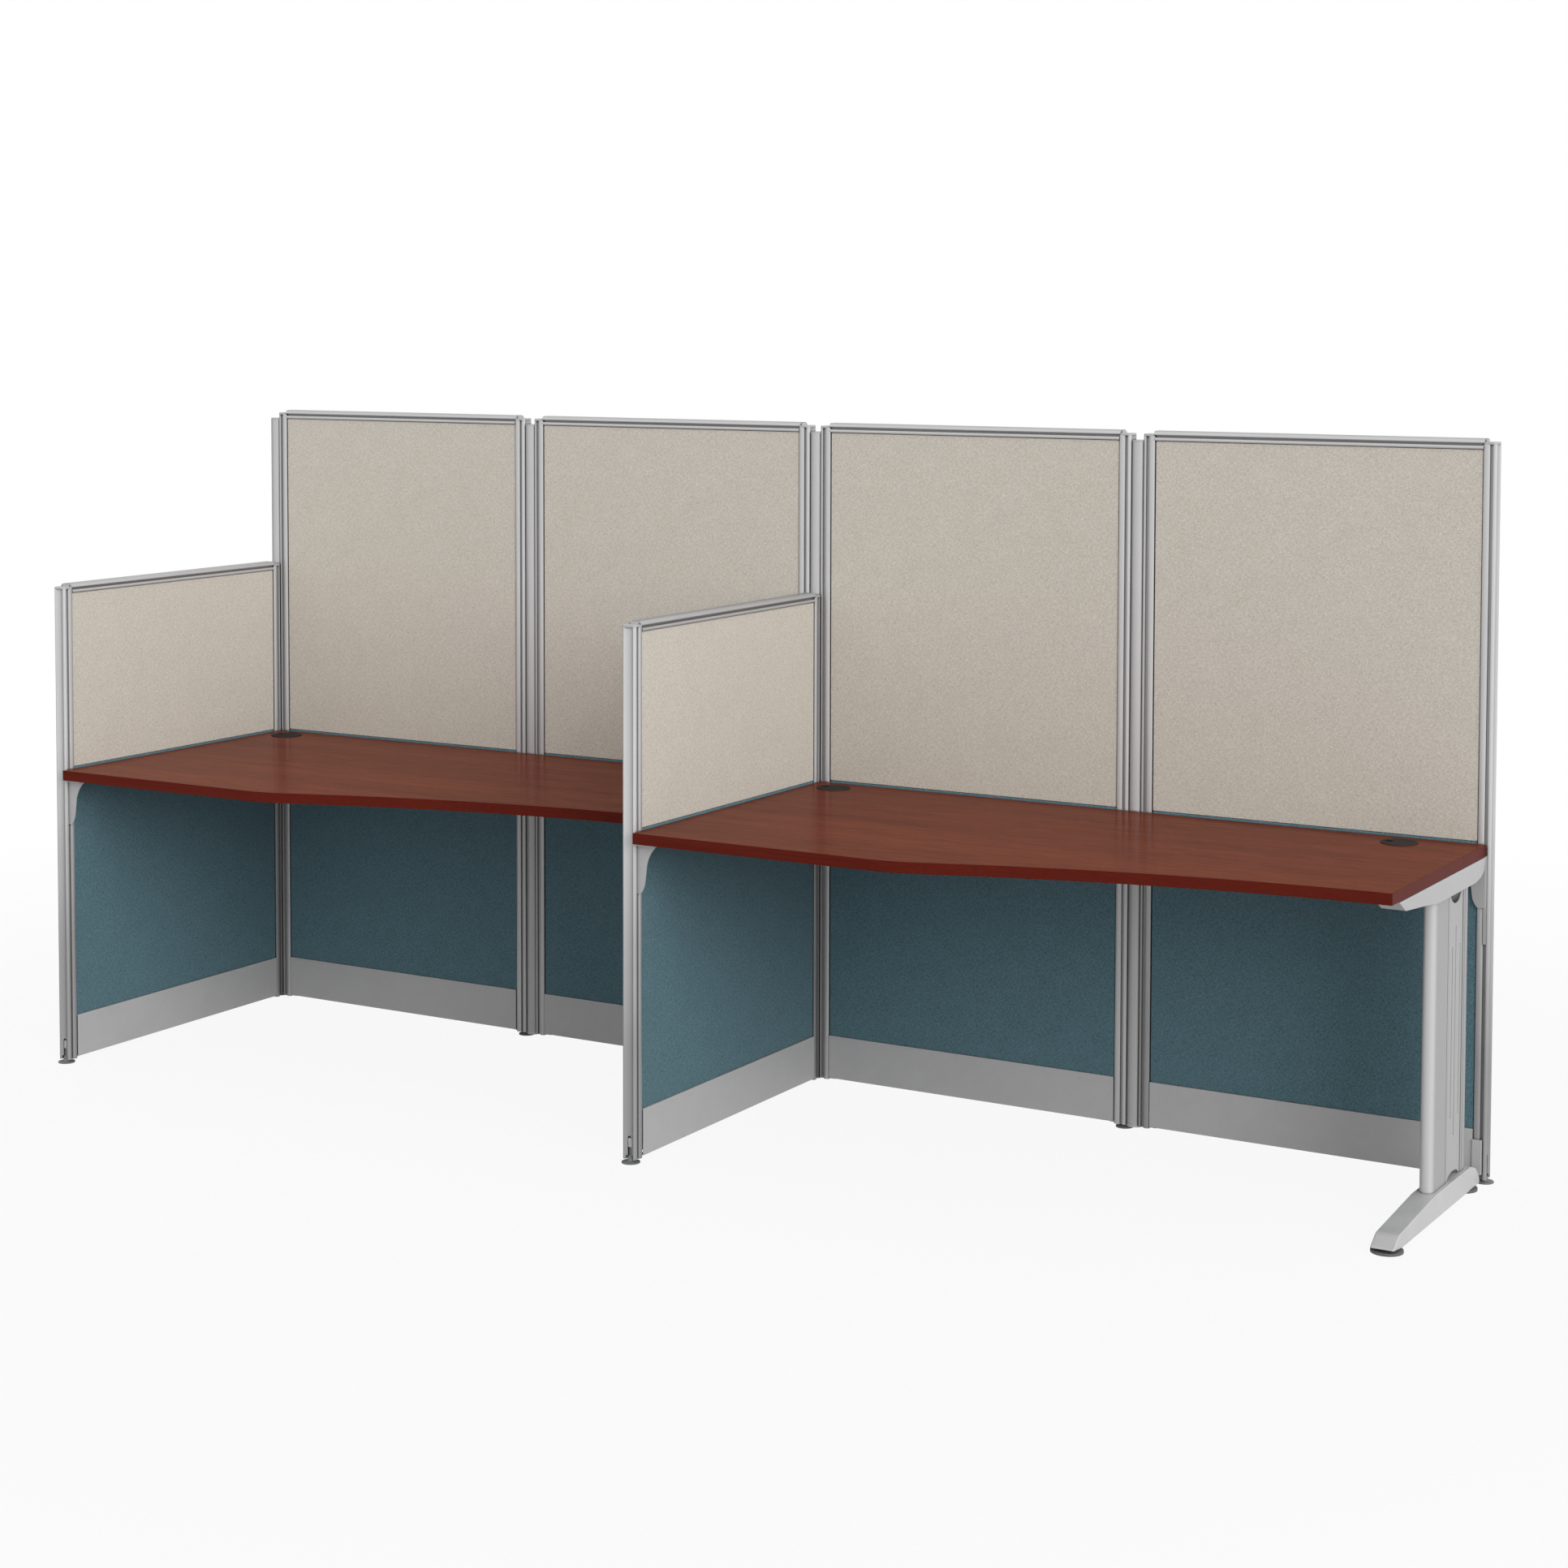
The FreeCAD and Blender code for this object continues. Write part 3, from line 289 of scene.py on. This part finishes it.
def tile_points(width, height, low, columns, rows):
    """The front of a tile: rounded corners and edges, and a slight pillow in the middle."""
    points = []
    for z in rows:
        for x in columns:
            from_side, from_end = min(x, width - x), min(z, height - z)
            px, pz = x, z
            depth = min(from_side, from_end)
            if from_side < corner_round and from_end < corner_round:
                a, b = corner_round - from_side, corner_round - from_end
                far = max(a, b)
                length = math.hypot(a, b)
                a, b = a * far / length, b * far / length
                depth = max(0.0, corner_round - math.hypot(a, b))
                px = corner_round - a if x < width / 2 else width - corner_round + a
                pz = corner_round - b if z < height / 2 else height - corner_round + b
            rise = board_depth
            if depth < edge_round:
                rise -= edge_round - math.sqrt(edge_round ** 2 - (edge_round - depth) ** 2)
            swell = (pillow * (1 - (2 * x / width - 1) ** pillow_power)
                     * (1 - (2 * z / height - 1) ** pillow_power))
            points.append((px, -board_back - rise - swell, low + pz))
    return points


def cloth_tile(name, width, low, high, finish):
    """A tile in its own frame: x along its width from 0, z up, its face toward -y."""
    columns, rows = insets(width), insets(high - low)
    points = tile_points(width, high - low, low, columns, rows)
    across_count, row_count = len(columns), len(rows)
    faces = []
    for row in range(row_count - 1):
        for column in range(across_count - 1):
            corner = row * across_count + column
            faces.append((corner, corner + 1, corner + 1 + across_count, corner + across_count))
    rim = list(range(across_count))
    rim += [across_count * row + across_count - 1 for row in range(1, row_count)]
    rim += [across_count * (row_count - 1) + column for column in range(across_count - 2, -1, -1)]
    rim += [across_count * row for row in range(row_count - 2, 0, -1)]
    start = len(points)
    points += [(points[index][0], -board_back, points[index][2]) for index in rim]
    for index in range(len(rim)):
        after = (index + 1) % len(rim)
        faces.append((rim[index], start + index, start + after, rim[after]))
    faces.append(tuple(range(start + len(rim) - 1, start - 1, -1)))
    mesh = bpy.data.meshes.new(name)
    mesh.from_pydata(points, [], faces)
    mesh.update()
    for face in mesh.polygons:
        face.use_smooth = True
    mesh.materials.append(finish.material)
    tile = bpy.data.objects.new(name, mesh)
    bpy.context.scene.collection.objects.link(tile)
    return tile


cloth_gloss = 0.25
cloth_sheen = 0.10
cloth_sheen_spread = 0.45
cloth_roughness = 0.88
cloth_relief = 0.00035
cloth_relief_strength = 0.55
thread_scale = 190.0
thread_wander = 1.2
thread_gap, thread_gap_share = (0.15, 0.75), 0.30
weave_power = 0.5
cloth_contrast = (0.42, 0.58)
speckle_share, slub_share, cloud_share = 0.33, 0.31, 0.05
speckle_height, slub_height = 1.2, 0.4
rough_by_slub = 0.1
fine_slub, long_slub = 620, 130
speckle_scale = 360.0
cloud_scale = 22.0


def cloth(name, light, dark, fleck):
    """Plain woven cloth: two sets of threads over and under each other, with slubs and flecks."""
    finish = Finish(name, Specular_IOR_Level=cloth_gloss, Sheen_Weight=cloth_sheen,
                    Sheen_Roughness=cloth_sheen_spread)
    threads = finish.place()
    warp, weft = [finish.add("ShaderNodeTexWave", {"bands_direction": direction},
                             {"Vector": threads, "Scale": thread_scale, "Distortion": thread_wander,
                              "Detail": 2.0, "Detail Scale": 0.6})
                  for direction in ("X", "Z")]
    slub = finish.noise(finish.place((long_slub, long_slub, fine_slub)), detail=3.0, rough=0.6)
    slub_across = finish.noise(finish.place((fine_slub, long_slub, long_slub)), detail=3.0, rough=0.6)
    speckle = finish.noise(threads, speckle_scale, detail=3.0, rough=0.7)
    cloud = finish.noise(threads, cloud_scale, detail=5.0, rough=0.62)
    weave = (warp * weft) ** weave_power
    mottle = (speckle * speckle_share + slub * slub_share + slub_across * slub_share
              + cloud * cloud_share)
    ground = finish.blend(finish.ramp(mottle, *cloth_contrast), dark, light)
    gaps = finish.ramp(weave, *thread_gap, thread_gap_share, 0.0)
    finish.feed(Base_Color=finish.blend(gaps, ground, fleck),
                Roughness=cloth_roughness + slub * rough_by_slub)
    height = weave + speckle * speckle_height + slub * slub_height + slub_across * slub_height
    finish.relief(height, cloth_relief, cloth_relief_strength)
    return finish


beige_cloth = cloth("beige_cloth", paint(223, 218, 208), paint(188, 182, 171), paint(160, 153, 140))
blue_cloth = cloth("blue_cloth", paint(106, 140, 152), paint(76, 102, 110), paint(56, 80, 86))
for name in panel_names:
    for part, finish, colour in (("upper_tiles", beige_cloth, "beige_fabric"),
                                 ("lower_tiles", blue_cloth, "blue_fabric")):
        node = f"{name}_{part}"
        lowest, highest = (Vector(corner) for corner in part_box(node))
        middle = (lowest + highest) / 2
        lengthwise = highest.x - lowest.x > highest.y - lowest.y
        width = max(highest.x - lowest.x, highest.y - lowest.y)
        for face in (0, 1):
            tile = cloth_tile(f"{node}_{('front', 'rear')[face]}", width, lowest.z, highest.z, finish)
            turn = (0 if lengthwise else -quarter_turn) + half_turn * face
            spin = Matrix.Rotation(math.radians(turn), 4, "Z")
            offset = spin @ Vector((-width / 2, 0, 0))
            tile.matrix_world = Matrix.Translation((middle.x + offset.x, middle.y + offset.y, 0)) @ spin
            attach(tile, "frame")
            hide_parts(node)


# Kick plates. Folded steel sheet along the floor on both faces of a panel, powder coated mid grey
# and pressed against the flanges of the stiles. The plates that link the legs have the same coat.
peel_scale = 900.0
rub_scale = 14.0
rub_low, rub_high = 0.35, 0.65
dust_range = (0.4, 0.7)
edge_mark_least, edge_mark_more = 0.35, 0.5
rough_by_dust = 0.12
rough_by_peel = 0.05
peel_relief = 0.00004
peel_relief_strength = 0.6
usual_edge = 0.0008
edge_wear_and_highlight_grey = paint(214, 214, 214)


def coated(name, light, dark, roughness, grain=peel_relief, edge=usual_edge, metal=0.0,
           edge_wear_and_highlight=edge_wear_and_highlight_grey):
    """Powder coat or moulded plastic: fine orange peel, slightly dusty, edges worn and with a painted
    highlight.
    """
    finish = Finish(name, Metallic=metal)
    peel = finish.noise(finish.place(), peel_scale)
    rub = finish.noise(finish.place(), rub_scale, detail=5.0, rough=0.62)
    eased = finish.eased(edge)
    ground = finish.blend(finish.ramp(rub, rub_low, rub_high), dark, light)
    # Lighter edges: partly edge wear, partly a painted highlight along them.
    edge_wear_and_highlight_share = finish.edge_share(eased) * (edge_mark_least + rub * edge_mark_more)
    finish.feed(Base_Color=finish.blend(edge_wear_and_highlight_share, ground, edge_wear_and_highlight),
                Roughness=roughness + finish.ramp(rub, *dust_range) * rough_by_dust + peel * rough_by_peel)
    finish.relief(peel, grain, peel_relief_strength, eased)
    return finish


kick_grey = coated("kick_grey", paint(183, 183, 183), paint(178, 178, 179), roughness=0.45)
dress(kick_grey, [f"{name}_kick_plates" for name in panel_names[:back_panels]]
      + ["side_kick_plates", "link_plates"])


# Posts. Round steel tubes between the panels with moulded caps and plugs, flat covers on the
# stiles, and the panels' levelling feet, which screw into the foot of a stile.
rolled_lines = 700
round_lines = (rolled_lines, rolled_lines, along_lines)
fine_peel = 0.00003
coarse_peel = 0.00006
sharp_edge = 0.0006
post_silver = silver("post_silver", round_lines, paint(192, 192, 192), paint(185, 185, 186),
                     roughness=0.34, metal=0.1, painted_low_shade=0.25)
dress(post_silver, ["posts"])
moulded_grey = coated("moulded_grey", paint(114, 115, 116), paint(102, 103, 105), roughness=0.48,
                      grain=coarse_peel, edge=sharp_edge, edge_wear_and_highlight=paint(164, 165, 166))
dress(moulded_grey, [f"{name}_foot" for name in panel_names])
capped_silver = coated("capped_silver", paint(182, 182, 182), paint(174, 174, 175), roughness=0.42,
                       grain=fine_peel, edge=sharp_edge, metal=0.2)
dress(capped_silver, ["post_ends", "stile_caps"])


# Hidden frame. Galvanised tubes behind the tiles, zinc blocks that the feet screw into, plated
# bolts and screws. Hardly any of it is seen in use.
cast_lines = 120
plated_zinc = silver("plated_zinc", (cast_lines, cast_lines, cast_lines), paint(190, 190, 188),
                     paint(150, 151, 152), roughness=0.38, metal=0.9)
dress(plated_zinc, ["cross_rails", "foot_inserts", "frame_bolts", "screws"])


# Worktops. Particle board with a dark cherry laminate and a thin, glossier band round its edge,
# laid on the brackets and leg beams and screwed from below.
bend_stretch = (0.7, 2.2, 2.2)
broad_stretch = (0.6, 9, 9)
bend_scale = 1.6
pore_fineness = 3.2
pore_range, pore_share = (0.60, 0.78), 0.3
wood_contrast = (0.36, 0.64)
grain_share, broad_share, bend_share = 0.5, 0.35, 0.15
grain_height = 0.5
rough_by_grain = 0.08
wood_relief = 0.00003
wood_relief_strength = 0.5
laminate_edge = 0.0005


def cherry(name, light, dark, pore, roughness, shine, stretch):
    """Printed cherry: long streaks, broad bands that bend a little, and short dark pores."""
    finish = Finish(name, Specular_IOR_Level=shine)
    bend = finish.noise(finish.place(bend_stretch), bend_scale)
    grain = finish.noise(finish.place(stretch), detail=5.0, rough=0.62)
    broad = finish.noise(finish.place(broad_stretch), detail=3.0, rough=0.55)
    pores = finish.noise(finish.place(tuple(value * pore_fineness for value in stretch)))
    streaks = grain * grain_share + broad * broad_share + bend * bend_share
    ground = finish.blend(finish.ramp(streaks, *wood_contrast), dark, light)
    finish.feed(Base_Color=finish.blend(finish.ramp(pores, *pore_range, 0.0, pore_share), ground, pore),
                Roughness=roughness + grain * rough_by_grain)
    finish.relief(grain * grain_height - finish.ramp(pores, *pore_range), wood_relief,
                  wood_relief_strength, finish.eased(laminate_edge))
    return finish


cherry_top = cherry("cherry_top", paint(121, 60, 39), paint(89, 42, 27), paint(66, 28, 17),
                    roughness=0.16, shine=0.0055, stretch=(12, 110, 110))
cherry_edge = cherry("cherry_edge", paint(94, 33, 24), paint(80, 26, 18), paint(56, 17, 12),
                     roughness=0.30, shine=0.022, stretch=(5, 260, 260))
dress(cherry_top, ["worktop_left", "worktop_right"])
dress(cherry_edge, ["edge_bands"])


# Grommets. Dark moulded rings pressed in holes of the worktops, each with a loose cap that turns
# in the ring and has a notch for cables.
def both_sides(text, places):
    """Names for the left and the right side, with each place."""
    return [text.format(side, place) for side in ("left", "right") for place in places]


grommet_gloss = 0.08
grommet_dark = coated("grommet_dark", paint(50, 50, 49), paint(42, 42, 42), roughness=0.60,
                      grain=coarse_peel, edge=sharp_edge, edge_wear_and_highlight=paint(76, 76, 75))
grommet_dark.feed(Specular_IOR_Level=grommet_gloss)
dress(grommet_dark, ["grommet_rings"] + both_sides("grommet_cap_{}_{}", (1, 2)))


# Brackets. Pressed steel with a grey powder coat, hooked in the grooves of the stiles, with a
# flange that the worktop is screwed to.
bracket_edge = 0.0004
bracket_grey = coated("bracket_grey", paint(174, 174, 174), paint(167, 167, 168), roughness=0.45,
                      edge=bracket_edge)
dress(bracket_grey, ["brackets"])


# Legs. Cast beams and foot bars with a silver coat, and aluminium columns with cover plates
# between them, all drawn together by long bolts. Dark glides screw into the foot bars.
cast_edge = 0.0016
cast_wear_and_highlight = paint(232, 232, 232)
cast_silver = coated("cast_silver", paint(190, 190, 190), paint(182, 182, 183), roughness=0.36,
                     edge=cast_edge, metal=0.1, edge_wear_and_highlight=cast_wear_and_highlight)
# The beams take a darker copy of the foot bars' coat: painted shade for their place under the worktops.
shaded_beam_silver = coated("shaded_beam_silver", paint(176, 176, 176), paint(169, 169, 170), roughness=0.36,
                     edge=cast_edge, metal=0.1, edge_wear_and_highlight=cast_wear_and_highlight)
column_silver = silver("column_silver", round_lines, paint(193, 193, 193), paint(188, 188, 189),
                       roughness=0.36, metal=0.12)
# The covers get a lighter base than the columns: painted light that offsets the painted slant shade on their
# sides.
lit_cover_silver = silver("lit_cover_silver", round_lines, paint(209, 209, 209), paint(204, 204, 205),
                      roughness=0.40, metal=0.05)
dress(cast_silver, ["foot_bars"])
dress(shaded_beam_silver, ["leg_beams"])
dress(column_silver, ["leg_columns"])
dress(lit_cover_silver, ["leg_covers"])
glide_black = coated("glide_black", paint(94, 94, 94), paint(82, 82, 83), roughness=0.5,
                     edge_wear_and_highlight=paint(128, 128, 128))
dress(glide_black, both_sides("glide_{}_{}", ("rear", "front")))


# Studio. A mid grey floor that the camera sees as white with a faint shadow, a plain white surround
# that gives most of the light, and one broad lamp at the front right.
floor_shade = 0.42
floor_gloss = 0.1
floor_roughness, floor_patch_scale, rough_by_patch = 0.7, 2.0, 0.1
floor_reach = 60.0
white = (1, 1, 1, 1)
full_strength = 1.0
surround_light = 0.91
white_at_part = 0.92
part_reach, open_floor = 2.2, 4.5
key_place = Vector((8.0, -4.5, 3.4))
key_strength = 1.59
key_spread = math.radians(40)


class Surround(Finish):
    """The light from all round, as nodes."""

    def __init__(self, name):
        self.world = bpy.data.worlds.new(name)
        self.world.use_nodes = True
        self.tree = self.world.node_tree
        self.end = self.tree.nodes["World Output"].inputs["Surface"]


def mix_shaders(finish, factor, first, second):
    return finish.add("ShaderNodeMixShader", {}, {0: factor, 1: first, 2: second})


def shows_background(finish):
    """1 where the camera, a reflection or a view through glass meets the surface, 0 for its light."""
    path = finish.tree.nodes.new("ShaderNodeLightPath")
    camera, glossy, through = [Value(finish, path.outputs[f"Is {kind} Ray"])
                               for kind in ("Camera", "Glossy", "Transmission")]
    return finish.add("ShaderNodeClamp", {}, {"Value": camera + glossy + through})


floor_white = Finish("studio_floor", Base_Color=(floor_shade, floor_shade, floor_shade, 1),
                     Specular_IOR_Level=floor_gloss)
floor_patches = floor_white.noise(floor_white.place(), floor_patch_scale, detail=3.0)
floor_white.feed(Roughness=floor_roughness + floor_patches * rough_by_patch)
glow = floor_white.add("ShaderNodeEmission", {}, {"Color": white, "Strength": full_strength})
far = floor_white.add("ShaderNodeVectorMath", {"operation": "LENGTH"}, {0: floor_white.place()}, "Value")
whiten = (floor_white.ramp(far, part_reach, open_floor, white_at_part, full_strength)
          * shows_background(floor_white))
plain = Value(floor_white, floor_white.surface.outputs[0])
floor_end = floor_white.tree.nodes["Material Output"].inputs["Surface"]
floor_white.put(floor_end, mix_shaders(floor_white, whiten, plain, glow))

floor_mesh = bpy.data.meshes.new("studio_floor")
floor_mesh.from_pydata([(-floor_reach, -floor_reach, 0), (floor_reach, -floor_reach, 0),
                        (floor_reach, floor_reach, 0), (-floor_reach, floor_reach, 0)], [], [(0, 1, 2, 3)])
floor_mesh.materials.append(floor_white.material)
floor = bpy.data.objects.new("studio_floor", floor_mesh)
bpy.context.scene.collection.objects.link(floor)

surround = Surround("studio")
bpy.context.scene.world = surround.world
dim, bright = [surround.add("ShaderNodeBackground", {}, {"Color": white, "Strength": strength})
               for strength in (surround_light, full_strength)]
surround.put(surround.end, mix_shaders(surround, shows_background(surround), dim, bright))

key_light = bpy.data.lights.new("key", "SUN")
key_light.energy = key_strength
key_light.angle = key_spread
key = bpy.data.objects.new("key", key_light)
key.location = key_place
key.rotation_euler = key_place.to_track_quat("Z", "Y").to_euler()
bpy.context.scene.collection.objects.link(key)

bpy.context.scene.view_settings.view_transform = "Standard"
